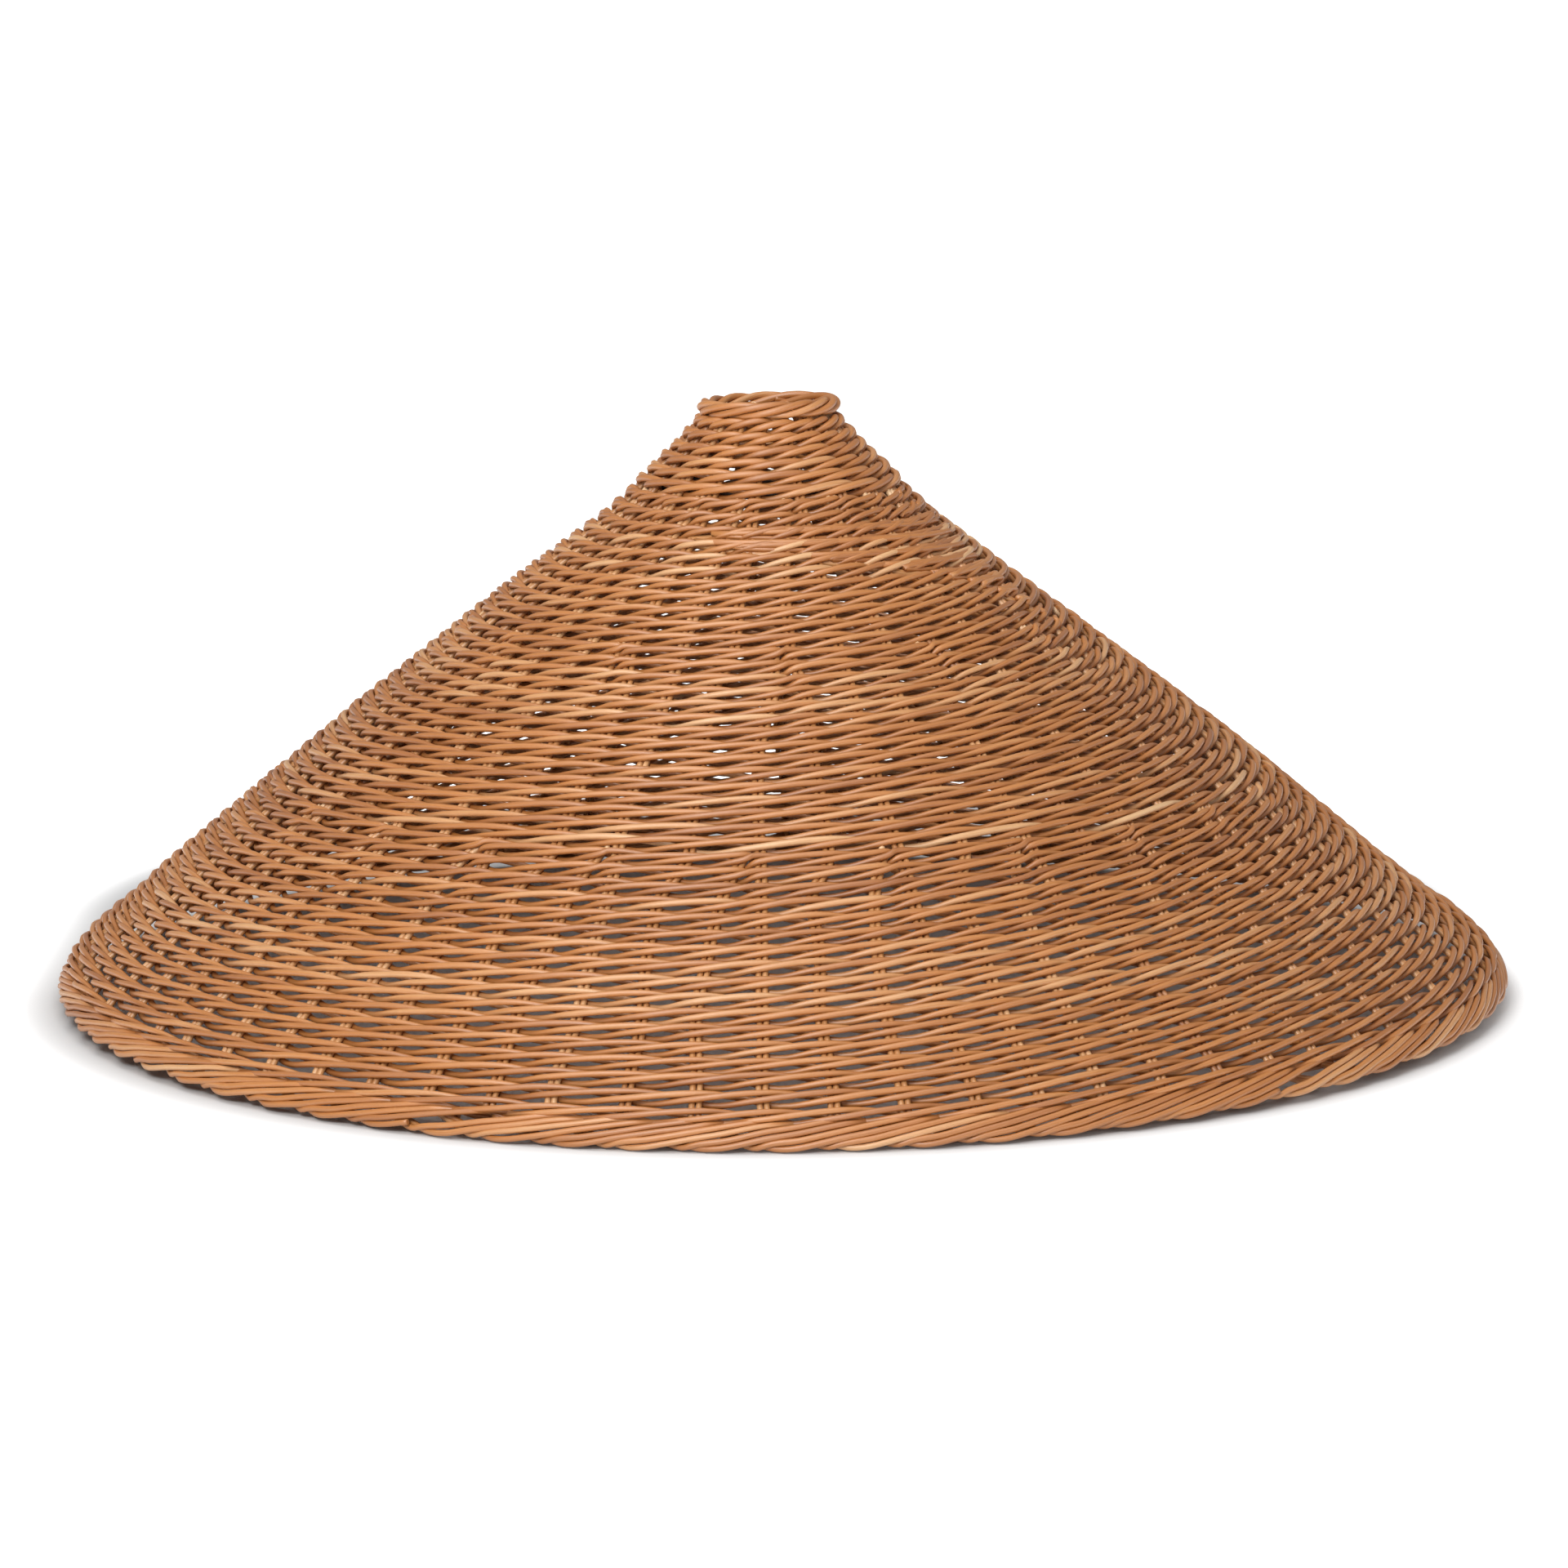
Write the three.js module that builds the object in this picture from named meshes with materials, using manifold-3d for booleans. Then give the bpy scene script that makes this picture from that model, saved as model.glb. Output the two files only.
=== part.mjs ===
// A conical pendant lampshade of woven rattan, resting on its rim, +Z up, origin under its middle.
// Flat stakes of two rods run between the neck border and the rim border. Bands of weaving
// hold them, and bye-stakes join them lower down, where the cone is wider.
// All sizes are in millimetres.
import * as THREE from "three";
import { mergeVertices } from "three/addons/utils/BufferGeometryUtils.js";
import Module from "manifold-3d";

const wasm = await Module();
wasm.setup();

// ---- Driving dimensions ----
const RIM_RADIUS = 450;
const HEIGHT = 367.2;
const NECK_RADIUS = 42.8; // outside of the neck border
const NECK_HOLE_RADIUS = 31.6;

const ROD_DIAMETER = 3.6;
const RODS_IN_STAKE = 2;
const WEAVER_DIAMETER = 3.6;
const WEAVE_THICKNESS = ROD_DIAMETER + 2 * WEAVER_DIAMETER;
const GAP = 0.3; // between neighbouring pieces

// The middle of the weave's thickness, as [radius, height], from the rim to the neck.
const PROFILE = [
  [444, 8],
  [433, 27.7],
  [331.4, 112],
  [244.3, 182.3],
  [89.1, 301.8],
  [77.3, 316.5],
  [54.6, 337.6],
  [41.5, 352.5],
].map(([r, z]) => new THREE.Vector2(r, z));

// Distances up the profile from its first point, where one band of weaving meets the next.
const RIM_BORDER_TOP = 24;
const LOWER_WEAVE_TOP = 183;
const MIDDLE_WEAVE_TOP = 352;
const UPPER_WEAVE_TOP = 475;

// Azimuths in degrees. The stakes stand in groups, and drift sideways to make room for new ones,
// so each has an azimuth from the group's start in the upper, the middle and the lower band.
const FIRST_GROUP = 2.5;
const GROUPS = 12;
const UPPER_STAKES = [
  [0, 2.5, 0],
  [10, 10, 10],
  [20, 17.5, 15],
];
const MIDDLE_BYE_STAKE = [-5, -5, -5];
const STAKE_DRIFT_LENGTH = 35; // down from the top of the middle band

const SHADE_SEGMENTS = 72;
const NECK_SEGMENTS = 36;

// The lamp fitter: a wire hoop, three arms and a flat ring that a lampholder clamps.
const FITTER_WIRE_RADIUS = 2;
const FITTER_ABOVE_LEDGE = 5;
const HOLDER_HOLE_RADIUS = 21;
const HOLDER_RING_RADIUS = 29;
const FITTER_ARMS = 3;
const FITTER_ARM_RADIUS = 1.5; // and half the flat ring's thickness
const WIRE_SIDES = 8;

const rattan = new THREE.MeshStandardMaterial({ color: 0xc58a55, roughness: 0.5, metalness: 0 });
const paleRattan = new THREE.MeshStandardMaterial({ color: 0xd29b66, roughness: 0.5, metalness: 0 });
const steel = new THREE.MeshStandardMaterial({ color: 0xb9bbbd, roughness: 0.35, metalness: 1 });

// ---- The profile ----
const cornerDistances = [0];
for (let i = 1; i < PROFILE.length; i++) {
  cornerDistances.push(cornerDistances[i - 1] + PROFILE[i].distanceTo(PROFILE[i - 1]));
}
const LEDGE = cornerDistances[5]; // where the steeper neck begins
const NECK_WEAVE_TOP = cornerDistances.at(-1);

function segmentAt(distance) {
  const after = cornerDistances.findIndex((corner, i) => i > 0 && distance < corner - 1e-6);
  return after < 0 ? PROFILE.length - 2 : after - 1;
}

// Distances outside the profile's ends carry on in a straight line.
function profilePoint(distance) {
  const i = segmentAt(distance);
  const share = (distance - cornerDistances[i]) / (cornerDistances[i + 1] - cornerDistances[i]);
  return PROFILE[i].clone().lerp(PROFILE[i + 1], share);
}

function segmentNormal(i) {
  const along = PROFILE[i + 1].clone().sub(PROFILE[i]).normalize();
  return new THREE.Vector2(along.y, -along.x);
}

// The way out of the surface. At a corner it is the mitre of both sides, so that an offset is even.
function offsetPoint(distance, offset) {
  const i = segmentAt(distance);
  const normal = segmentNormal(i);
  const isCorner = i > 0 && Math.abs(distance - cornerDistances[i]) < 1e-6;
  if (isCorner) {
    const before = segmentNormal(i - 1);
    normal.add(before);
    normal.multiplyScalar(1 / (1 + before.dot(segmentNormal(i))));
  }
  return profilePoint(distance).addScaledVector(normal, offset);
}

function stationsBetween(low, high) {
  const corners = cornerDistances.filter((corner) => corner > low + 1e-6 && corner < high - 1e-6);
  return [low, ...corners, high];
}

// ---- Solids ----
// A closed ring whose section is an outline of [radius, height] points, anticlockwise.
// It is turned so that the middle of a facet lies over each stake.
function ring(outline, segments) {
  const closed = [...outline, outline[0]];
  const turn = THREE.MathUtils.degToRad(FIRST_GROUP) + Math.PI / segments;
  return new THREE.LatheGeometry(closed, segments, turn).rotateX(Math.PI / 2);
}

function solid(geometry) {
  const bare = geometry.clone().deleteAttribute("normal").deleteAttribute("uv");
  const merged = mergeVertices(bare, 1e-4);
  const vertProperties = new Float32Array(merged.attributes.position.array);
  const triVerts = new Uint32Array(merged.index.array);
  return new wasm.Manifold(new wasm.Mesh({ numProp: 3, vertProperties, triVerts }));
}

function geometryOf(manifold) {
  const made = manifold.getMesh();
  const geometry = new THREE.BufferGeometry();
  geometry.setAttribute("position", new THREE.BufferAttribute(made.vertProperties, 3));
  geometry.setIndex(new THREE.BufferAttribute(made.triVerts, 1));
  const flat = geometry.toNonIndexed();
  flat.computeVertexNormals();
  return flat;
}

// The line of one stake up the slope. Its width lies along the weave and its thickness across it.
class StakeLine extends THREE.Curve {
  constructor(stations) {
    super();
    this.points = [];
    this.normals = [];
    this.widths = [];
    for (const { distance, azimuth } of stations) {
      const angle = THREE.MathUtils.degToRad(azimuth);
      const turned = (r, z) => new THREE.Vector3(r * Math.cos(angle), r * Math.sin(angle), z);
      const middle = profilePoint(distance);
      const outer = offsetPoint(distance, 1);
      this.points.push(turned(middle.x, middle.y));
      this.normals.push(turned(outer.x - middle.x, outer.y - middle.y));
      this.widths.push(new THREE.Vector3(-Math.sin(angle), Math.cos(angle), 0));
    }
  }

  getSpacedPoints() {
    return this.points;
  }

  computeFrenetFrames() {
    return { tangents: this.points, normals: this.normals, binormals: this.widths };
  }
}

function stakeGeometry(stations, clearance) {
  const across = ROD_DIAMETER / 2 + clearance;
  const along = (RODS_IN_STAKE * ROD_DIAMETER) / 2 + clearance;
  const section = new THREE.Shape([
    new THREE.Vector2(-across, -along),
    new THREE.Vector2(across, -along),
    new THREE.Vector2(across, along),
    new THREE.Vector2(-across, along),
  ]);
  const extrudePath = new StakeLine(stations);
  return new THREE.ExtrudeGeometry(section, { steps: stations.length - 1, extrudePath });
}

// ---- Stakes ----
// Where the stakes drift sideways, from the neck down: over the top of the middle and lower bands.
const DRIFTS = [
  { from: MIDDLE_WEAVE_TOP, to: MIDDLE_WEAVE_TOP - STAKE_DRIFT_LENGTH },
  { from: LOWER_WEAVE_TOP, to: cornerDistances[2] },
];

function azimuthAt(distance, bandAzimuths) {
  return DRIFTS.reduce((azimuth, { from, to }, i) => {
    const share = THREE.MathUtils.clamp((from - distance) / (from - to), 0, 1);
    return azimuth + share * (bandAzimuths[i + 1] - bandAzimuths[i]);
  }, bandAzimuths[0]);
}

function stake(name, groupStart, bandAzimuths, top) {
  const turns = DRIFTS.filter((_, i) => bandAzimuths[i] !== bandAzimuths[i + 1])
    .flatMap(({ from, to }) => [from, to]);
  const distances = [...new Set([...stationsBetween(RIM_BORDER_TOP + GAP, top), ...turns])];
  const stations = distances.sort((a, b) => a - b).map((distance) => ({
    distance,
    azimuth: groupStart + azimuthAt(distance, bandAzimuths),
  }));
  const slotStations = stations.map((station) => ({ ...station }));
  slotStations[0].distance -= 1;
  slotStations.at(-1).distance += 1;
  return {
    name,
    geometry: stakeGeometry(stations, 0),
    slot: solid(stakeGeometry(slotStations, GAP)),
    top,
  };
}

function numbered(base, index) {
  return `${base}_${String(index + 1).padStart(2, "0")}`;
}

const stakes = [];
for (let group = 0; group < GROUPS; group++) {
  const start = FIRST_GROUP + (group * 360) / GROUPS;
  UPPER_STAKES.forEach((bandAzimuths, i) => {
    const index = group * UPPER_STAKES.length + i;
    const startsAtNeck = index % 2 === 0;
    const base = startsAtNeck ? "neck_stake" : "upper_bye_stake";
    const top = startsAtNeck ? NECK_WEAVE_TOP - GAP : UPPER_WEAVE_TOP - 4;
    stakes.push(stake(numbered(base, Math.floor(index / 2)), start, bandAzimuths, top));
  });
  const name = numbered("middle_bye_stake", group);
  stakes.push(stake(name, start, MIDDLE_BYE_STAKE, MIDDLE_WEAVE_TOP - 4));
}

// ---- Bands of weaving ----
// A conical ring of the weave's full thickness, with a slot for each stake that reaches into it.
function weaveBand(low, high, segments) {
  const distances = stationsBetween(low + GAP / 2, high - GAP / 2);
  const outer = distances.map((distance) => offsetPoint(distance, WEAVE_THICKNESS / 2));
  const inner = distances.map((distance) => offsetPoint(distance, -WEAVE_THICKNESS / 2));
  let body = solid(ring([...outer, ...inner.reverse()], segments));
  for (const { slot, top } of stakes) {
    if (top > low) body = body.subtract(slot);
  }
  return geometryOf(body);
}

// ---- Borders ----
// The stakes' own ends, bent over, rolled along the rim and packed down under the last rows.
function rimBorder() {
  const top = RIM_BORDER_TOP - GAP / 2;
  const outline = [
    new THREE.Vector2(RIM_RADIUS - 12.5, 0),
    new THREE.Vector2(RIM_RADIUS - 3, 0),
    new THREE.Vector2(RIM_RADIUS, 3),
    new THREE.Vector2(RIM_RADIUS, 11),
    offsetPoint(top, WEAVE_THICKNESS / 2),
    offsetPoint(top, -WEAVE_THICKNESS / 2),
    new THREE.Vector2(RIM_RADIUS - 14.5, 4),
  ];
  return ring(outline, SHADE_SEGMENTS);
}

function neckBorder() {
  const outerEnd = offsetPoint(NECK_WEAVE_TOP + GAP / 2, WEAVE_THICKNESS / 2);
  const innerEnd = offsetPoint(NECK_WEAVE_TOP + GAP / 2, -WEAVE_THICKNESS / 2);
  const outline = [
    innerEnd,
    outerEnd,
    new THREE.Vector2(NECK_RADIUS, HEIGHT - 4),
    new THREE.Vector2(NECK_RADIUS - 3, HEIGHT),
    new THREE.Vector2(NECK_HOLE_RADIUS + 2.5, HEIGHT),
    new THREE.Vector2(NECK_HOLE_RADIUS, HEIGHT - 3.5),
    new THREE.Vector2(NECK_HOLE_RADIUS, HEIGHT - 10),
  ];
  return ring(outline, NECK_SEGMENTS);
}

// ---- Lamp fitter ----
// The hoop sits just above the ledge inside the neck, so the shade's weight wedges on it.
function lampFitter() {
  const reach = WEAVE_THICKNESS / 2 + GAP + FITTER_WIRE_RADIUS;
  const hoopMiddle = offsetPoint(LEDGE + FITTER_ABOVE_LEDGE, -reach);
  const hoop = new THREE.TorusGeometry(hoopMiddle.x, FITTER_WIRE_RADIUS, WIRE_SIDES, NECK_SEGMENTS);
  let body = solid(hoop);

  const half = FITTER_ARM_RADIUS;
  const holderRing = ring([
    new THREE.Vector2(HOLDER_HOLE_RADIUS, -half),
    new THREE.Vector2(HOLDER_RING_RADIUS, -half),
    new THREE.Vector2(HOLDER_RING_RADIUS, half),
    new THREE.Vector2(HOLDER_HOLE_RADIUS, half),
  ], NECK_SEGMENTS);
  body = body.add(solid(holderRing));

  const inset = 2;
  const armLength = hoopMiddle.x - HOLDER_RING_RADIUS + inset;
  for (let i = 0; i < FITTER_ARMS; i++) {
    const arm = new THREE.CylinderGeometry(half, half, armLength, WIRE_SIDES);
    arm.translate(0, HOLDER_RING_RADIUS - inset + armLength / 2, 0);
    arm.rotateZ((i * 2 * Math.PI) / FITTER_ARMS);
    body = body.add(solid(arm));
  }
  return geometryOf(body.translate([0, 0, hoopMiddle.y]));
}

// ---- Assembly ----
const shade = new THREE.Group();
shade.name = "conical_woven_lampshade";

function place(name, geometry, material) {
  const mesh = new THREE.Mesh(geometry, material);
  mesh.name = name;
  shade.add(mesh);
}

place("rim_border", rimBorder(), rattan);
place("lower_weave", weaveBand(RIM_BORDER_TOP, LOWER_WEAVE_TOP, SHADE_SEGMENTS), rattan);
place("middle_weave", weaveBand(LOWER_WEAVE_TOP, MIDDLE_WEAVE_TOP, SHADE_SEGMENTS), rattan);
place("upper_weave", weaveBand(MIDDLE_WEAVE_TOP, UPPER_WEAVE_TOP, SHADE_SEGMENTS), rattan);
place("neck_weave", weaveBand(UPPER_WEAVE_TOP, NECK_WEAVE_TOP, NECK_SEGMENTS), rattan);
place("neck_border", neckBorder(), rattan);
for (const { name, geometry } of stakes) {
  place(name, geometry, paleRattan);
}
place("lamp_fitter", lampFitter(), steel);

export default shade;
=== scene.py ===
"""A conical lampshade of woven rattan, built rod by rod round its CAD frame.

Lengths are in metres and azimuths in degrees. "distance" is always the way up the slope from
the first point of PROFILE, and "outward" is the way out of the middle of the weave's thickness.
"""

import math

import bpy
import numpy as np
from mathutils import Matrix, Vector


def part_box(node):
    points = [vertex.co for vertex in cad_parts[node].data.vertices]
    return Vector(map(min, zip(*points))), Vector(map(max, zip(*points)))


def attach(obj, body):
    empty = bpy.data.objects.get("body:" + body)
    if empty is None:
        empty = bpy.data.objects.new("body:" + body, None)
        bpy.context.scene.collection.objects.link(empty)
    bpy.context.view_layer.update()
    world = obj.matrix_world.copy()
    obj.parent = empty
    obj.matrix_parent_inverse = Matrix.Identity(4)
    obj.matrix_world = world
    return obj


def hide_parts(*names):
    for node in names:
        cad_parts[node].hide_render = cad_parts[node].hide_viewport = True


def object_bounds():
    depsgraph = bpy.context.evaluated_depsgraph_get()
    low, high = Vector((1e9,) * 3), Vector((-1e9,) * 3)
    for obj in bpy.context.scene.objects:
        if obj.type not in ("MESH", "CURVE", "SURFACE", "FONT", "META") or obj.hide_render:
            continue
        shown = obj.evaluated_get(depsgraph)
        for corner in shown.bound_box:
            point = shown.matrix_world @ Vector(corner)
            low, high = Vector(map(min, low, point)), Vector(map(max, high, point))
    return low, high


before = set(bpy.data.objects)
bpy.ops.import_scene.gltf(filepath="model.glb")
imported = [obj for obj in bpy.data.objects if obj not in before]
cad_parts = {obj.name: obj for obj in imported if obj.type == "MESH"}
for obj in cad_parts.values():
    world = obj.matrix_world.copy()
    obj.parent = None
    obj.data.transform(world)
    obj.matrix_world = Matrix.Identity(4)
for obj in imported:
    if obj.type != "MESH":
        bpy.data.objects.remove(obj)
cad_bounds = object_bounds()

MM = 0.001
random = np.random.default_rng(20)

# ---- Design ----
RIM_RADIUS = float(cad_bounds[1][0])

ROD = 3.6 * MM  # a stake is two of these side by side
RODS_IN_STAKE = 2
WEAVER = 3.7 * MM
NECK_WEAVER = 4.3 * MM
PRESSED = 0.94  # how closely crossing rods press together, as a share of their thickness
ROW_PITCH = 11 * MM
MIDDLE_ROW_PITCH = 10.6 * MM
NECK_ROW_PITCH = 9.5 * MM

# The middle of the weave's thickness, as radius and height from the rim up. The CAD bands have it too.
PROFILE = MM * np.array([
    (444, 8), (433, 27.7), (331.4, 112), (244.3, 182.3),
    (89.1, 301.8), (77.3, 316.5), (54.6, 337.6), (41.5, 352.5),
])
LOWER_START = 6 * MM
MIDDLE_START = 193 * MM
UPPER_START = 352 * MM
NECK_START = 477 * MM
NECK_END = 537 * MM

# Stakes stand in groups. Each has an azimuth from the group's start in the upper, middle and lower
# band, and drifts from one to the next below the top of a band.
FIRST_GROUP = 2.5
GROUPS = 12
UPPER_STAKES = [(0, 2.5, 0), (10, 10, 10), (20, 17.5, 15)]
MIDDLE_BYE_STAKES = [(-5, -5, -5)]
LOWER_BYE_STAKES = [(-10, -10, -10), (5, 5, 5)]
DRIFT_LENGTH = 38 * MM
BYE_DRIFT_LENGTH = 32 * MM


# ---- The shade's surface ----
def corner_cut(points, rounds):
    """Chaikin's corner cutting: a smooth line that keeps its ends."""
    for _ in range(rounds):
        low = 0.75 * points[:-1] + 0.25 * points[1:]
        high = 0.25 * points[:-1] + 0.75 * points[1:]
        middle = np.stack([low, high], axis=1).reshape(-1, 2)
        points = np.concatenate([points[:1], middle[1:-1], points[-1:]])
    return points


def smooth_step(x):
    x = np.clip(x, 0, 1)
    return x * x * (3 - 2 * x)


def smoothed(values, rounds):
    for _ in range(rounds):
        inside = (values[:-2] + 2 * values[1:-1] + values[2:]) / 4
        values = np.concatenate([values[:1], inside, values[-1:]])
    return values


PAST_END = 60 * MM
rim_way = (PROFILE[0] - PROFILE[1]) / np.linalg.norm(PROFILE[0] - PROFILE[1])
neck_way = (PROFILE[-1] - PROFILE[-2]) / np.linalg.norm(PROFILE[-1] - PROFILE[-2])
line = corner_cut(PROFILE, 4)
line = np.concatenate([[line[0] + rim_way * PAST_END], line, [line[-1] + neck_way * PAST_END]])
line_steps = np.diff(line, axis=0)
line_lengths = np.linalg.norm(line_steps, axis=1)
line_distances = np.concatenate([[0], np.cumsum(line_lengths)]) - PAST_END
middles = (line_distances[1:] + line_distances[:-1]) / 2
line_normals = np.stack([line_steps[:, 1], -line_steps[:, 0]], axis=1) / line_lengths[:, None]

# The woven shade isn't quite true. Its slope bows in above the rim and out halfway up.
BOW_DISTANCES = MM * np.array([0, 58, 120, 182, 246, 310, 380, 447, 540])
BOW = MM * np.array([0.3, -2.5, -0.2, 1.1, 1.3, 0.3, 0.5, -0.5, -0.4])

# Its middle wanders in x on the way up, it isn't round at the rim, and the rim's sides lift off the floor.
LEAN_DISTANCES = MM * np.array([0, 90, 182, 246, 310, 380, 447, 540])
LEAN = MM * np.array([4.5, 0.6, -0.4, -2.0, -1.8, -2.1, 0, 0])
OUT_OF_ROUND = [(2.0 * MM, 2, -36), (2.4 * MM, 3, 14)]  # amplitude, lobes, azimuth of the first
RIM_LIFT = 3.8 * MM
RIM_LIFT_AZIMUTH = -9
RIM_LIFT_REACH = 150 * MM  # up the slope

# Slow waves in the weave, as (amplitude, waves round it, waves up it, phase).
SWELLS = [
    (0.35 * MM, waves, random.uniform(-2.5, 2.5), random.uniform(0, 2 * math.pi))
    for waves in (3, 4, 5, 7, 9)
]


def swell(distance, azimuth):
    share = np.clip(distance / NECK_END, 0, 1)
    total = sum(
        amplitude * np.cos(waves * np.radians(azimuth) + 2 * math.pi * climb * share + phase)
        for amplitude, waves, climb, phase in SWELLS
    )
    ends = smooth_step(distance / (80 * MM)) * smooth_step((NECK_END - distance) / (90 * MM))
    return total * ends + np.interp(distance, BOW_DISTANCES, BOW)


def untrue(distance, azimuth):
    """How far each point of the shade lies from its true place, as a shift."""
    lobes = sum(size * np.cos(count * np.radians(azimuth - first)) for size, count, first in OUT_OF_ROUND)
    outward = lobes * np.clip(1 - distance / NECK_END, 0, 1)
    shift = turned(outward, azimuth, np.zeros_like(outward))
    shift[..., 0] += np.interp(distance, LEAN_DISTANCES, LEAN)
    lift = RIM_LIFT * (1 + np.cos(2 * np.radians(azimuth - RIM_LIFT_AZIMUTH)))
    shift[..., 2] += lift * np.clip(1 - distance / RIM_LIFT_REACH, 0, 1) ** 1.5
    return shift


def normal_at(distance):
    parts = [np.interp(distance, middles, line_normals[:, i]) for i in (0, 1)]
    length = np.hypot(*parts)
    return parts[0] / length, parts[1] / length


def turned(radius, azimuth, height):
    angle = np.radians(azimuth)
    return np.stack([radius * np.cos(angle), radius * np.sin(angle), height], axis=-1)


def on_shade(distance, azimuth, outward):
    """Points over the shade's surface, and the outward direction at each."""
    out_r, out_z = normal_at(distance)
    lift = outward + swell(distance, azimuth)
    radius = np.interp(distance, line_distances, line[:, 0]) + lift * out_r
    height = np.interp(distance, line_distances, line[:, 1]) + lift * out_z
    return turned(radius, azimuth, height) + untrue(distance, azimuth), turned(out_r, azimuth, out_z)


def radius_at(distance):
    return np.interp(distance, line_distances, line[:, 0])


# ---- Rods: round tubes gathered into one mesh ----
def wander(count, spacing, amplitude):
    """A smooth random walk about zero, with a knot every so many samples."""
    knots = random.normal(0, amplitude, max(4, int(count / spacing) + 4))
    at = np.arange(count) / spacing + 1
    low = at.astype(int)
    share = smooth_step(at - low)
    return knots[low] * (1 - share) + knots[low + 1] * share


class Rods:
    """Tubes that share one mesh. Each point keeps its place in its own rod, laid out straight,
    for the grain, and its rod's tone."""

    def __init__(self, sides=8):
        self.sides = sides
        self.points, self.grain, self.tones = [], [], []
        self.loops, self.sizes = [], []
        self.count = 0

    def add(self, centres, radius, ups, tone, closed=False):
        """A tube along the centres. ups gives the side that its seam is turned to."""
        samples = len(centres)
        if closed:
            along = np.roll(centres, -1, axis=0) - np.roll(centres, 1, axis=0)
        else:
            along = np.gradient(centres, axis=0)
        along /= np.linalg.norm(along, axis=1, keepdims=True)
        across = np.cross(along, ups)
        across /= np.linalg.norm(across, axis=1, keepdims=True)
        over = np.cross(across, along)
        angles = 2 * math.pi * np.arange(self.sides) / self.sides
        radii = np.broadcast_to(radius, samples)
        round_ways = (
            np.cos(angles)[None, :, None] * across[:, None] + np.sin(angles)[None, :, None] * over[:, None]
        )
        self.points.append((centres[:, None] + radii[:, None, None] * round_ways).reshape(-1, 3))

        steps = np.linalg.norm(np.diff(centres, axis=0), axis=1)
        length = np.concatenate([[0], np.cumsum(steps)]) + random.uniform(0, 50)
        laid = np.empty((samples, self.sides, 3))
        laid[..., 0] = length[:, None]
        laid[..., 1] = radii[:, None] * np.cos(angles)
        laid[..., 2] = radii[:, None] * np.sin(angles)
        self.grain.append(laid.reshape(-1, 3))
        self.tones.append(np.repeat(np.broadcast_to(tone, samples), self.sides))

        rings = np.arange(samples if closed else samples - 1)[:, None]
        here = np.arange(self.sides)[None, :]
        there = (here + 1) % self.sides
        after = (rings + 1) % samples
        corners = [rings * self.sides + here, rings * self.sides + there,
                   after * self.sides + there, after * self.sides + here]
        quads = np.stack(corners, axis=-1).reshape(-1)
        self.loops.append(quads + self.count)
        self.sizes.append(np.full(len(quads) // 4, 4))
        if not closed:
            last = (samples - 1) * self.sides
            self.loops.append(self.count + np.arange(self.sides)[::-1])
            self.loops.append(self.count + last + np.arange(self.sides))
            self.sizes.append(np.full(2, self.sides))
        self.count += samples * self.sides

    def piece(self, name, material):
        """Makes the mesh, links it and returns its object."""
        points, loops = np.concatenate(self.points), np.concatenate(self.loops)
        sizes = np.concatenate(self.sizes)
        mesh = bpy.data.meshes.new(name)
        mesh.vertices.add(len(points))
        mesh.vertices.foreach_set("co", points.astype(np.float32).ravel())
        mesh.loops.add(len(loops))
        mesh.loops.foreach_set("vertex_index", loops.astype(np.int32))
        mesh.polygons.add(len(sizes))
        starts = np.concatenate([[0], np.cumsum(sizes)[:-1]])
        mesh.polygons.foreach_set("loop_start", starts.astype(np.int32))
        mesh.polygons.foreach_set("use_smooth", sizes == 4)
        mesh.update(calc_edges=True)
        grain = mesh.attributes.new("grain", "FLOAT_VECTOR", "POINT")
        grain.data.foreach_set("vector", np.concatenate(self.grain).astype(np.float32).ravel())
        tone = mesh.attributes.new("tone", "FLOAT", "POINT")
        tone.data.foreach_set("value", np.concatenate(self.tones).astype(np.float32))
        mesh.materials.append(material)
        made = bpy.data.objects.new(name, mesh)
        bpy.context.scene.collection.objects.link(made)
        return made


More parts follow.
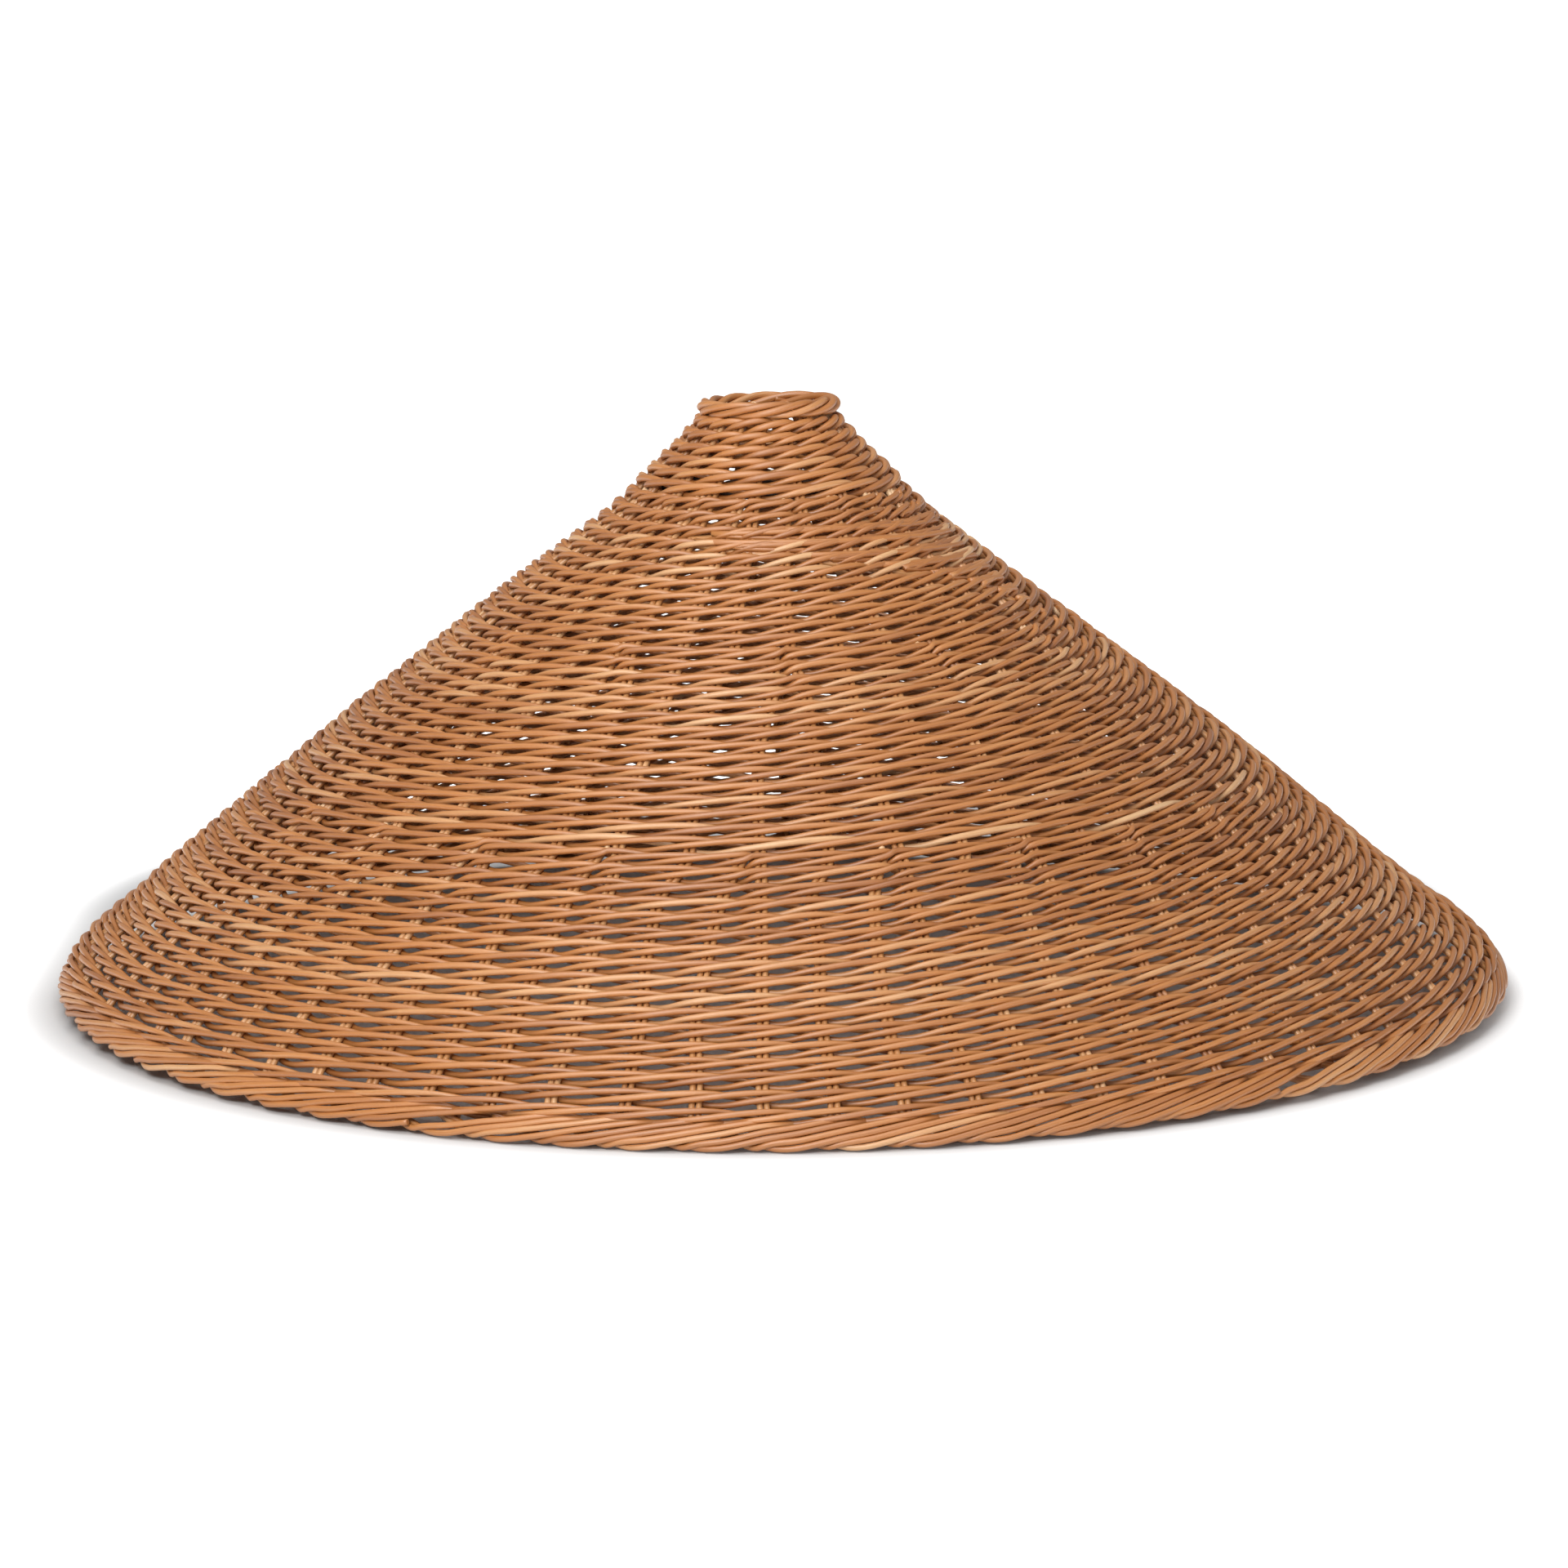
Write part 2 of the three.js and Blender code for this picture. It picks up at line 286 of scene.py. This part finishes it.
# ---- Materials ----
def rattan_material(name, dark, middle, light):
    """Peeled rattan: streaks and fibres along each rod, blotches, and a tone for each rod."""
    material = bpy.data.materials.new(name)
    material.use_nodes = True
    nodes, links = material.node_tree.nodes, material.node_tree.links
    shader = nodes["Principled BSDF"]
    grain = nodes.new("ShaderNodeAttribute")
    grain.attribute_name = "grain"
    tone = nodes.new("ShaderNodeAttribute")
    tone.attribute_name = "tone"

    def noise(per_metre_along, per_metre_across, detail):
        """Noise drawn out along the rod, from 0 to 1."""
        scale = nodes.new("ShaderNodeVectorMath")
        scale.operation = "MULTIPLY"
        scale.inputs[1].default_value = (per_metre_along, per_metre_across, per_metre_across)
        links.new(grain.outputs["Vector"], scale.inputs[0])
        texture = nodes.new("ShaderNodeTexNoise")
        texture.inputs["Scale"].default_value = 1
        texture.inputs["Detail"].default_value = detail
        links.new(scale.outputs["Vector"], texture.inputs["Vector"])
        return texture.outputs["Fac"]

    def weighted(values):
        """The sum of each value times its weight."""
        total = None
        for value, weight in values:
            node = nodes.new("ShaderNodeMath")
            node.operation = "MULTIPLY_ADD"
            node.inputs[1].default_value = weight
            node.inputs[2].default_value = 0
            links.new(value, node.inputs[0])
            if total is not None:
                links.new(total, node.inputs[2])
            total = node.outputs["Value"]
        return total

    streaks = noise(26, 1100, 3)
    fibres = noise(110, 4200, 2)
    blotches = noise(9, 90, 2)

    shader.inputs["Specular IOR Level"].default_value = 1
    shader.inputs["Coat Weight"].default_value = 0.22
    shader.inputs["Coat Roughness"].default_value = 0.48

    ramp = nodes.new("ShaderNodeValToRGB")
    ramp.color_ramp.elements[0].position = 0.25
    ramp.color_ramp.elements[0].color = (*dark, 1)
    ramp.color_ramp.elements[1].position = 0.8
    ramp.color_ramp.elements[1].color = (*light, 1)
    ramp.color_ramp.elements.new(0.52).color = (*middle, 1)
    links.new(weighted([(tone.outputs["Fac"], 0.5), (streaks, 0.2), (fibres, 0.12), (blotches, 0.18)]),
              ramp.inputs["Fac"])
    links.new(ramp.outputs["Color"], shader.inputs["Base Color"])

    roughness = nodes.new("ShaderNodeMapRange")
    roughness.inputs["To Min"].default_value = 0.34
    roughness.inputs["To Max"].default_value = 0.62
    links.new(weighted([(streaks, 0.5), (fibres, 0.5)]), roughness.inputs["Value"])
    links.new(roughness.outputs["Result"], shader.inputs["Roughness"])

    bump = nodes.new("ShaderNodeBump")
    bump.inputs["Strength"].default_value = 0.4
    bump.inputs["Distance"].default_value = 0.12 * MM
    links.new(weighted([(streaks, 0.5), (fibres, 0.5)]), bump.inputs["Height"])
    links.new(bump.outputs["Normal"], shader.inputs["Normal"])
    return material


def steel_material():
    """Wire with a dark brown enamel, a little cloudy."""
    material = bpy.data.materials.new("fitter_steel")
    material.use_nodes = True
    nodes, links = material.node_tree.nodes, material.node_tree.links
    shader = nodes["Principled BSDF"]
    clouds = nodes.new("ShaderNodeTexNoise")
    clouds.inputs["Scale"].default_value = 220
    clouds.inputs["Detail"].default_value = 4
    ramp = nodes.new("ShaderNodeValToRGB")
    ramp.color_ramp.elements[0].color = (0.020, 0.010, 0.006, 1)
    ramp.color_ramp.elements[1].color = (0.045, 0.024, 0.014, 1)
    links.new(clouds.outputs["Fac"], ramp.inputs["Fac"])
    links.new(ramp.outputs["Color"], shader.inputs["Base Color"])
    roughness = nodes.new("ShaderNodeMapRange")
    roughness.inputs["To Min"].default_value = 0.35
    roughness.inputs["To Max"].default_value = 0.6
    links.new(clouds.outputs["Fac"], roughness.inputs["Value"])
    links.new(roughness.outputs["Result"], shader.inputs["Roughness"])
    return material


weaver_rattan = rattan_material(
    "rattan_weavers", dark=(0.28, 0.085, 0.014), middle=(0.48, 0.18, 0.038), light=(0.74, 0.47, 0.24)
)
stake_rattan = rattan_material(
    "rattan_stakes", dark=(0.30, 0.095, 0.020), middle=(0.60, 0.28, 0.09), light=(0.86, 0.58, 0.32)
)
fitter_steel = steel_material()


# ---- Stakes ----
GRID = 2 * MM  # spacing of the table of azimuths
grid_distances = np.arange(-20 * MM, 560 * MM, GRID)


class Stake:
    def __init__(self, kind, start, bands, top, host=None):
        self.kind, self.top = kind, top
        upper, middle, lower = (start + azimuth for azimuth in bands)
        self.home = lower
        drop_to_middle = smooth_step((UPPER_START - grid_distances) / DRIFT_LENGTH)
        drop_to_lower = smooth_step((MIDDLE_START - grid_distances) / DRIFT_LENGTH)
        self.azimuths = upper + drop_to_middle * (middle - upper) + drop_to_lower * (lower - middle)
        if host is not None:
            # A bye-stake is pushed in on the left of its host, and drifts out to its own place.
            beside = host.azimuths - np.degrees(1.1 * RODS_IN_STAKE * ROD / radius_at(top))
            free = 1 - np.exp(-np.maximum(top - grid_distances, 0) / BYE_DRIFT_LENGTH)
            self.azimuths = beside + free * (self.azimuths - beside)
        self.azimuths = self.azimuths + wander(len(grid_distances), 24, 0.22)

    def azimuth_at(self, distance):
        return np.interp(distance, grid_distances, self.azimuths)


def make_stakes():
    """All stakes in order of azimuth, each with its kind and the top of its run."""
    upper, extra = [], []
    for group in range(GROUPS):
        start = FIRST_GROUP + group * 360 / GROUPS
        for bands in UPPER_STAKES:
            upper.append((start, bands))
    neck = {i: Stake("neck", *upper[i], NECK_END + 4 * MM) for i in range(0, len(upper), 2)}
    stakes = list(neck.values())
    by_index = dict(neck)
    for i in range(1, len(upper), 2):
        host = neck[(i + 1) % len(upper)]
        turn = 360 if i + 1 == len(upper) else 0
        bye = Stake("upper", *upper[i], NECK_START, host)
        if turn:
            # The last one's host is the first stake, a full turn on.
            shift = turn * (1 - smooth_step((NECK_START - grid_distances) / DRIFT_LENGTH))
            bye.azimuths = bye.azimuths + shift
        stakes.append(bye)
        by_index[i] = bye
    for group in range(GROUPS):
        start = FIRST_GROUP + group * 360 / GROUPS
        for bands in MIDDLE_BYE_STAKES:
            host = by_index[group * 3]
            middle = Stake("middle", start, bands, UPPER_START, host)
            stakes.append(middle)
        hosts = [middle, by_index[group * 3 + 1]]
        for bands, host in zip(LOWER_BYE_STAKES, hosts):
            extra.append(Stake("lower", start, bands, MIDDLE_START, host))
    stakes += extra
    for stake in stakes:
        turns = math.floor(stake.home / 360)
        stake.home -= 360 * turns
        stake.azimuths = stake.azimuths - 360 * turns
    return sorted(stakes, key=lambda stake: stake.home)


stakes = make_stakes()
STAKE_STEP = 5 * MM
CUT_END_PALER = 0.6
STAKE_FOOT = 9 * MM  # where a stake's rods turn into the rim border


def add_stake(rods, stake):
    """Rods side by side, not quite level with one another."""
    base_tone = random.normal(0.5, 0.1)
    for i in range(RODS_IN_STAKE):
        end = stake.top + random.uniform(-1, 3.5) * MM
        distance = np.arange(STAKE_FOOT, end, STAKE_STEP)
        distance = np.append(distance, end)
        count = len(distance)
        beside = (i - (RODS_IN_STAKE - 1) / 2) * ROD * 1.02
        aside = beside + wander(count, 9, 0.10 * MM)
        azimuth = stake.azimuth_at(distance) + np.degrees(aside / radius_at(distance))
        outward = wander(count, 7, 0.12 * MM)
        centres, ups = on_shade(distance, azimuth, outward)
        tone = base_tone + random.normal(0, 0.07) + wander(count, 12, 0.05)
        tone[-2:] += CUT_END_PALER
        rods.add(centres, ROD / 2 * random.uniform(0.94, 1.04), ups, tone)


def stake_pieces():
    groups = {
        "neck_stakes": ("neck", "neck_stake"),
        "upper_bye_stakes": ("upper", "upper_bye_stake"),
        "middle_bye_stakes": ("middle", "middle_bye_stake"),
        "lower_bye_stakes": ("lower", None),
    }
    for name, (kind, node_base) in groups.items():
        rods = Rods()
        for stake in stakes:
            if stake.kind == kind:
                add_stake(rods, stake)
        piece = rods.piece(name, stake_rattan)
        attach(piece, "root")
        if node_base:
            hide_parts(*[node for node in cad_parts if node.startswith(node_base)])


# ---- Bands of weaving ----
SAMPLES_PER_STAKE = 8
STEP_SHARE = 0.15  # the part of each round in which the rows step up
WEAVERS = 3

# A weaver's way past three stakes, counted from the one that it passes behind. DEPTHS are shares of
# the way out to a stake's front, at each stake. RISES are in row pitches, at RISE_STAKES.
DEPTHS = np.array([-1.0, 1.0, 1.0])
RISE_STAKES = [0, 0.08, 0.16, 0.3, 0.5, 0.75, 1, 1.25, 1.5, 1.75, 2, 2.25, 2.5, 2.75, 2.88, 3]
RISES = [
    -0.03, -0.16, -0.27, -0.35, -0.34, -0.30, -0.24, -0.13,
    -0.02, 0.09, 0.17, 0.23, 0.25, 0.22, 0.12, -0.03,
]


def catmull_rom(a, b, c, d, share):
    """A smooth curve through b and c, in the direction of their neighbours."""
    slope_b, slope_c = (c - a) / 2, (d - b) / 2
    square, cube = share**2, share**3
    return ((2 * cube - 3 * square + 1) * b + (cube - 2 * square + share) * slope_b
            + (3 * square - 2 * cube) * c + (cube - square) * slope_c)


def depth_at(place):
    low = np.floor(place).astype(int)
    near = [DEPTHS[(low + step) % WEAVERS] for step in (-1, 0, 1, 2)]
    return catmull_rom(*near, place - low)


class Band:
    """The stakes that a band of weaving passes, with their azimuths made to rise past 360."""

    def __init__(self, kinds):
        self.table = np.array([s.azimuths for s in stakes if s.kind in kinds])
        self.count = len(self.table)

    def azimuth_at(self, place, distance):
        """The azimuth at a place counted in stakes, whole numbers being on a stake."""
        stake = np.floor(place).astype(int)
        share = place - stake
        at = (distance - grid_distances[0]) / GRID
        low = at.astype(int)
        part = at - low

        def azimuth_of(index):
            turns, index = np.divmod(index, self.count)
            value = self.table[index, low] * (1 - part) + self.table[index, low + 1] * part
            return value + 360 * turns

        return catmull_rom(*[azimuth_of(stake + step) for step in (-1, 0, 1, 2)], share)


def weave(name, kinds, start, end, pitch, thickness, start_place, nodes, from_border=False):
    """Three-rod waling: each weaver passes in front of two stakes and behind one.

    In front it climbs to the upper right, over the weaver that follows it. Rows step up by one
    pitch over the last part of each round. A band that starts from the border has the second half
    of such a step before its first round too, which fills the gap under the end of that round.
    """
    band = Band(kinds)
    rows = round((end - start) / pitch)
    pitch = (end - start) / rows
    front = PRESSED * (ROD + thickness) / 2
    lead = math.ceil(STEP_SHARE * band.count / 2) if from_border else 0
    for weaver in range(WEAVERS):
        samples_woven = (lead + rows * band.count) * SAMPLES_PER_STAKE + 1
        places = np.arange(samples_woven) / SAMPLES_PER_STAKE - lead
        rounds = places / band.count
        row = np.minimum(np.floor(rounds), rows - 1)
        climb = smooth_step((rounds - row - 1 + STEP_SHARE) / STEP_SHARE)
        count = len(places)
        passed = places - weaver
        outward = front * depth_at(passed)
        rise = smoothed(np.interp(passed % WEAVERS, RISE_STAKES, RISES), 2)
        slack = wander(count, 2.3 * SAMPLES_PER_STAKE, 0.3 * MM)
        distance = start + pitch * (row + 0.5 + climb + rise) + slack
        row_sway = wander(count, 5 * SAMPLES_PER_STAKE, 0.35 * MM)
        distance = distance + row_sway
        outward = outward + wander(count, 1.7 * SAMPLES_PER_STAKE, 0.22 * MM)
        azimuth = band.azimuth_at(places + start_place, np.clip(distance, start, end))

        rods = Rods()
        first = 0
        while first < count - 1:
            # One rod lasts two or three metres, and the next takes over behind a stake.
            stretch = random.uniform(1.8, 3.0)
            stake_gap = 2 * math.pi * radius_at(distance[first]) / band.count
            stake_passed = weaver + int(places[first] + stretch / stake_gap) // WEAVERS * WEAVERS
            last = (stake_passed + lead) * SAMPLES_PER_STAKE
            if last > count - 4 * SAMPLES_PER_STAKE:
                last = count - 1
            part = slice(first, last + 1)
            centres, ups = on_shade(distance[part], azimuth[part], outward[part])
            size = last + 1 - first
            tone = random.normal(0.5, 0.11) + wander(size, 30, 0.06)
            radius = thickness / 2 * (random.uniform(0.93, 1.05) + wander(size, 40, 0.02))
            rods.add(centres, radius, ups, tone)
            first = last
        piece = rods.piece(f"{name}_weaver_{weaver + 1}", weaver_rattan)
        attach(piece, "root")
        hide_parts(*nodes)


# ---- Rim border ----
BORDER_ROD = 3.7 * MM
RODS_IN_BORDER = 2
BORDER_MIDDLE = 1 * MM  # distance of the middle of the rolled border's section
BORDER_RISE = 8.2 * MM  # half the section's height, to the rods' middles
BORDER_DEPTH = 3.4 * MM  # half its thickness
BORDER_SAMPLES = 74
SHORT_RODS_EVERY = 13  # in stakes, where the lower rod is cut off short on the rim's face
FIRST_SHORT_ROD = 7
SHORT_ROD_SAMPLES = 31

# A rod's way round the section, against stakes passed: down inside, under the rim and up the face.
# BORDER_WAY is the length from the outermost point, and BORDER_SAG lets the rim's edge scallop.
BORDER_STAKES = [0, 0.45, 0.8, 1.0, 1.3, 3.3, 3.7, 4.6]
BORDER_WAY = [-27, -19, -13, -9.5, -6.3, 7.8, 11, 12]
TUCK_START = 3.1  # where the rods start to turn in behind the weave
TUCK_END = 3.7
TUCK_DEPTH = 5 * MM
SAG_STAKES = [0, 0.7, 1.0, 1.4, 2.0, 3.0]
BORDER_SAG = [0, 1.0, 1.5, -1.0, -0.3, 0]


def rim_border():
    """Each stake's rods go down inside, under the rim, and rise along its face past more stakes."""
    turns = np.radians(np.linspace(-360, 180, 541))
    section = np.stack([BORDER_RISE * np.sin(turns), BORDER_DEPTH * np.cos(turns)], axis=1)
    ways = np.concatenate([[0], np.cumsum(np.linalg.norm(np.diff(section, axis=0), axis=1))])
    ways -= ways[360]

    rods = Rods()
    pitch = 360 / len(stakes)
    for number, stake in enumerate(stakes):
        tone = random.normal(0.5, 0.1)
        ahead = np.linspace(0, BORDER_STAKES[-1] + random.uniform(-0.2, 0), BORDER_SAMPLES)
        group_way = MM * smoothed(np.interp(ahead, BORDER_STAKES, BORDER_WAY), 4)
        sag = MM * smoothed(np.interp(ahead, SAG_STAKES, BORDER_SAG), 4)
        tuck = TUCK_DEPTH * smooth_step((ahead - TUCK_START) / (TUCK_END - TUCK_START))
        for i in range(RODS_IN_BORDER):
            order = i - (RODS_IN_BORDER - 1) / 2
            way = group_way + order * 1.02 * BORDER_ROD + wander(BORDER_SAMPLES, 8, 0.2 * MM)
            distance = BORDER_MIDDLE + np.interp(way, ways, section[:, 0]) + sag
            outward = np.interp(way, ways, section[:, 1]) - tuck + wander(BORDER_SAMPLES, 8, 0.15 * MM)
            aside = order * 1.5 * ROD * (1 - smooth_step(ahead))
            azimuth = stake.azimuth_at(STAKE_FOOT) + ahead * pitch + np.degrees(aside / RIM_RADIUS)
            centres, ups = on_shade(distance, azimuth, outward)
            rod_tone = tone + random.normal(0, 0.08)
            short = i == 0 and number % SHORT_RODS_EVERY == FIRST_SHORT_ROD
            part = slice(SHORT_ROD_SAMPLES if short else BORDER_SAMPLES)
            rods.add(centres[part], BORDER_ROD / 2 * random.uniform(0.92, 1.03), ups[part], rod_tone)
    piece = rods.piece("rim_border_roll", weaver_rattan)
    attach(piece, "root")
    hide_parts("rim_border")


# ---- Neck border ----
NECK_STRAND = 4.3 * MM
NECK_STRANDS = 4
NECK_STRAND_TURNS = 3
NECK_LAY = 3.35 * MM  # how far each strand's middle lies from the rope's
NECK_IN = 1 * MM  # how far the border is drawn in
NECK_UP = 1.5 * MM
NECK_TILT = 1 * MM  # how much higher it stands at +X


def neck_border():
    """Strands laid round one another like a rope, climbing to the right on the outside."""
    rods = Rods(sides=12)
    low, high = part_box("neck_border")
    middle_radius = high.x - NECK_STRAND / 2 - NECK_LAY - NECK_IN
    samples = 200
    azimuth = np.arange(samples) * 360 / samples
    top_middle = high.z - NECK_STRAND / 2 - NECK_LAY + NECK_UP
    middle_height = top_middle + NECK_TILT * np.cos(np.radians(azimuth))
    for strand in range(NECK_STRANDS):
        offset = strand * 360 / NECK_STRANDS
        unevenness = 12 * np.sin(np.radians(azimuth * 2 + 80))
        turn = np.radians(azimuth * NECK_STRAND_TURNS + offset + unevenness)
        radius = middle_radius + NECK_LAY * np.cos(turn)
        height = middle_height + NECK_LAY * np.sin(turn)
        centres = turned(radius, azimuth, height)
        ups = turned(np.cos(turn), azimuth, np.sin(turn))
        strand_radius = NECK_STRAND / 2 * random.uniform(0.96, 1.04)
        rods.add(centres, strand_radius, ups, random.normal(0.5, 0.08), closed=True)
    piece = rods.piece("neck_border_rope", weaver_rattan)
    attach(piece, "root")
    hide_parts("neck_border")


# ---- Lamp fitter ----
FITTER_WIRE = 1.5 * MM  # radius of the arms' and the ring's wire
FITTER_ARMS = 3
RING_INSIDE = 22.6 * MM  # to the middle of the ring's innermost wire
RING_OUTSIDE = 27.4 * MM
RING_WIRES = 4


def lamp_fitter():
    """A wire hoop wedged in the neck, three arms, and a flat ring for the lampholder."""
    rods = Rods(sides=12)
    low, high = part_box("lamp_fitter")
    wire = (high.z - low.z) / 2
    hoop_radius = high.x - wire
    height = (high.z + low.z) / 2
    samples = 120
    azimuth = np.arange(samples) * 360 / samples
    up = [0.0, 0.0, 1.0]
    hoop = turned(np.full(samples, hoop_radius), azimuth, np.full(samples, height))
    rods.add(hoop, wire, np.broadcast_to(up, hoop.shape), 0.5, closed=True)
    for i in range(FITTER_ARMS):
        angle = math.radians(90 + i * 360 / FITTER_ARMS)
        way = np.array([math.cos(angle), math.sin(angle), 0])
        reach = np.linspace(RING_OUTSIDE, hoop_radius, 12)[:, None]
        centres = way * reach + np.array([0, 0, height])
        rods.add(centres, FITTER_WIRE, np.broadcast_to(up, centres.shape), 0.5)
    for radius in np.linspace(RING_INSIDE, RING_OUTSIDE, RING_WIRES):
        ring = turned(np.full(samples, radius), azimuth, np.full(samples, height))
        rods.add(ring, FITTER_WIRE, np.broadcast_to(up, ring.shape), 0.5, closed=True)
    piece = rods.piece("wire_lamp_fitter", fitter_steel)
    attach(piece, "root")
    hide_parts("lamp_fitter")


stake_pieces()
KINDS = ("neck", "upper", "middle", "lower")
weave(
    "lower", KINDS, LOWER_START, MIDDLE_START, ROW_PITCH, WEAVER,
    start_place=18, nodes=["lower_weave"], from_border=True,
)
weave(
    "middle", KINDS[:3], MIDDLE_START, UPPER_START, MIDDLE_ROW_PITCH, WEAVER,
    start_place=12, nodes=["middle_weave"],
)
weave(
    "upper", KINDS[:2], UPPER_START, NECK_START, ROW_PITCH, WEAVER,
    start_place=9, nodes=["upper_weave"],
)
weave(
    "neck", KINDS[:1], NECK_START, NECK_END, NECK_ROW_PITCH, NECK_WEAVER,
    start_place=4, nodes=["neck_weave"],
)
rim_border()
neck_border()
lamp_fitter()


# ---- Studio ----
CAMERA_AZIMUTH = math.radians(-91.3)
CAMERA_AWAY = 2.9415
CAMERA_HEIGHT = 0.6147
CAMERA_PITCH = math.radians(9.424)  # down
CAMERA_YAW = math.radians(0.156)  # to the right of the shade's axis
CAMERA_ROLL = math.radians(0.354)  # clockwise
LENS = 109.6
SURROUNDINGS = 0.32  # brightness of the white room
FLOOR_GLOW = 0.95
FLOOR_PAINTED_SHADE_LENGTH = 0.25  # metres in y, from the shade's middle to behind it, along which the floor keeps its painted shade
FLOOR_GLOW_START = 0.435  # metres from that line, where the painted shade starts to give way to the glow
FLOOR_GLOW_FULL = 0.5
HORIZON_AWAY = 39
HORIZON_HEIGHT = 12  # and as far again below the floor


def add_camera():
    camera = bpy.data.objects.new("camera", bpy.data.cameras.new("camera"))
    camera.data.lens = LENS
    camera.data.sensor_width = 36
    camera.data.clip_end = 100
    heading = CAMERA_AZIMUTH + math.pi - CAMERA_YAW
    ahead = Vector((math.cos(heading), math.sin(heading), 0))
    side = Vector((ahead.y, -ahead.x, 0))
    view = ahead * math.cos(CAMERA_PITCH) - Vector((0, 0, math.sin(CAMERA_PITCH)))
    over = ahead * math.sin(CAMERA_PITCH) + Vector((0, 0, math.cos(CAMERA_PITCH)))
    right = side * math.cos(CAMERA_ROLL) - over * math.sin(CAMERA_ROLL)
    up = side * math.sin(CAMERA_ROLL) + over * math.cos(CAMERA_ROLL)
    place = Vector((math.cos(CAMERA_AZIMUTH), math.sin(CAMERA_AZIMUTH), 0)) * CAMERA_AWAY
    place.z = CAMERA_HEIGHT
    camera.matrix_world = Matrix.Translation(place) @ Matrix((right, up, -view)).transposed().to_4x4()
    bpy.context.scene.collection.objects.link(camera)
    bpy.context.scene.camera = camera


def add_area_light(name, place, size, power):
    data = bpy.data.lights.new(name, "AREA")
    data.shape = "RECTANGLE"
    data.size, data.size_y = size
    data.energy = power
    light = bpy.data.objects.new(name, data)
    light.location = place
    aim = Vector((0, 0, 0.15)) - Vector(place)
    light.rotation_euler = aim.to_track_quat("-Z", "Y").to_euler()
    bpy.context.scene.collection.objects.link(light)


def add_floor():
    """A wide pale floor. It glows beside the shade and in front of it, and so fades into white. Under the
    shade and behind it, it does not glow: that dimmer ground is painted shade, and its fading edge paints
    a soft shadow round the rim.
    """
    bpy.ops.mesh.primitive_plane_add(size=80)
    floor = bpy.context.object
    floor.name = "floor"
    material = bpy.data.materials.new("floor_white_and_painted_shade")
    material.use_nodes = True
    nodes, links = material.node_tree.nodes, material.node_tree.links
    shader = nodes["Principled BSDF"]
    # The dull grey is painted shade where the floor doesn't glow, under the shade and behind it.
    shader.inputs["Base Color"].default_value = (0.6, 0.6, 0.6, 1)
    shader.inputs["Roughness"].default_value = 0.9
    shader.inputs["Specular IOR Level"].default_value = 0.1
    shader.inputs["Emission Color"].default_value = (1, 1, 1, 1)
    place = nodes.new("ShaderNodeTexCoord")
    parts = nodes.new("ShaderNodeSeparateXYZ")
    along = nodes.new("ShaderNodeClamp")
    along.inputs["Max"].default_value = FLOOR_PAINTED_SHADE_LENGTH
    nearest = nodes.new("ShaderNodeCombineXYZ")
    away = nodes.new("ShaderNodeVectorMath")
    away.operation = "DISTANCE"
    # The glow fades out towards the shade, and the fade paints a soft shadow round the rim.
    glow = nodes.new("ShaderNodeMapRange")
    glow.interpolation_type = "SMOOTHSTEP"
    glow.inputs["From Min"].default_value = FLOOR_GLOW_START
    glow.inputs["From Max"].default_value = FLOOR_GLOW_FULL
    glow.inputs["To Max"].default_value = FLOOR_GLOW
    links.new(place.outputs["Object"], parts.inputs["Vector"])
    links.new(parts.outputs["Y"], along.inputs["Value"])
    links.new(along.outputs["Result"], nearest.inputs["Y"])
    links.new(place.outputs["Object"], away.inputs[0])
    links.new(nearest.outputs["Vector"], away.inputs[1])
    links.new(away.outputs["Value"], glow.inputs["Value"])
    links.new(glow.outputs["Result"], shader.inputs["Emission Strength"])
    floor.data.materials.append(material)


def add_horizon():
    """A white wall all round, far off, that hides where the floor ends. It lights nothing."""
    bpy.ops.mesh.primitive_cylinder_add(
        vertices=96, radius=HORIZON_AWAY, depth=2 * HORIZON_HEIGHT, end_fill_type="NOTHING"
    )
    wall = bpy.context.object
    wall.name = "horizon"
    wall.visible_diffuse = False
    wall.visible_glossy = False
    wall.visible_shadow = False
    material = bpy.data.materials.new("horizon_white")
    material.use_nodes = True
    shader = material.node_tree.nodes["Principled BSDF"]
    shader.inputs["Emission Color"].default_value = (1, 1, 1, 1)
    shader.inputs["Emission Strength"].default_value = 1
    wall.data.materials.append(material)


def add_world():
    world = bpy.data.worlds.new("studio")
    world.use_nodes = True
    background = world.node_tree.nodes["Background"]
    background.inputs["Color"].default_value = (1, 1, 1, 1)
    background.inputs["Strength"].default_value = SURROUNDINGS
    bpy.context.scene.world = world


bpy.context.scene.view_settings.view_transform = "Standard"
add_camera()
add_world()
add_area_light("overhead", (-0.3, -0.8, 2.6), (2.4, 1.6), 34)
add_area_light("front", (-0.9, -2.9, 2.0), (1.2, 1.0), 75)
add_floor()
add_horizon()
